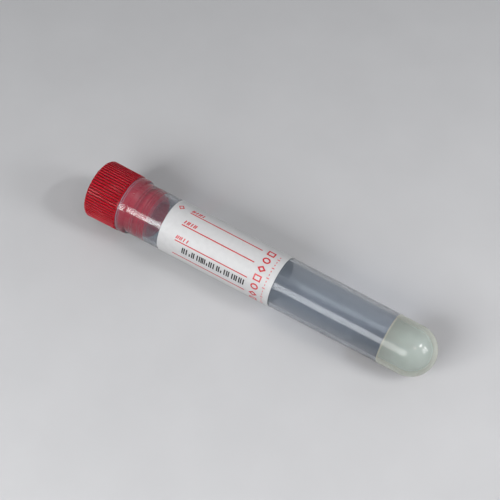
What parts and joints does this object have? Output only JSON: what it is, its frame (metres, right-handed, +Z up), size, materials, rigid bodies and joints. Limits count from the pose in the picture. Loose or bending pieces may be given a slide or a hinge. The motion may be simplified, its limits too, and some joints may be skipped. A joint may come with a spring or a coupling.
{
  "type": "blood collection tube",
  "caption": "Round-bottomed sample tube lying on its side, with a collared mouth, a ribbed push-in stopper, a wrap-around label and separator gel in its closed end.",
  "frame": {"origin": "on the surface that the tube lies on, under the middle of the whole outline", "axes": "+X along the tube from the stopper to the round end, +Z up from the surface; the tube's own axis leans 0.86 degrees down towards the round end"},
  "size_m": [0.111, 0.018, 0.018],
  "materials": {
    "clear_wall": "gloss",
    "red_stopper": "satin",
    "label_paper": "satin",
    "gel": "satin"
  },
  "bodies": {
    "tube": {"tube": "clear_wall", "label": "label_paper", "separator_gel": "gel"},
    "stopper": {"stopper": "red_stopper"}
  },
  "joints": [
    {"name": "stopper_pull", "type": "slide", "parent": "tube", "child": "stopper", "axis": [-0.9999, 0, 0.015], "range_m": [0, 0.03]}
  ]
}
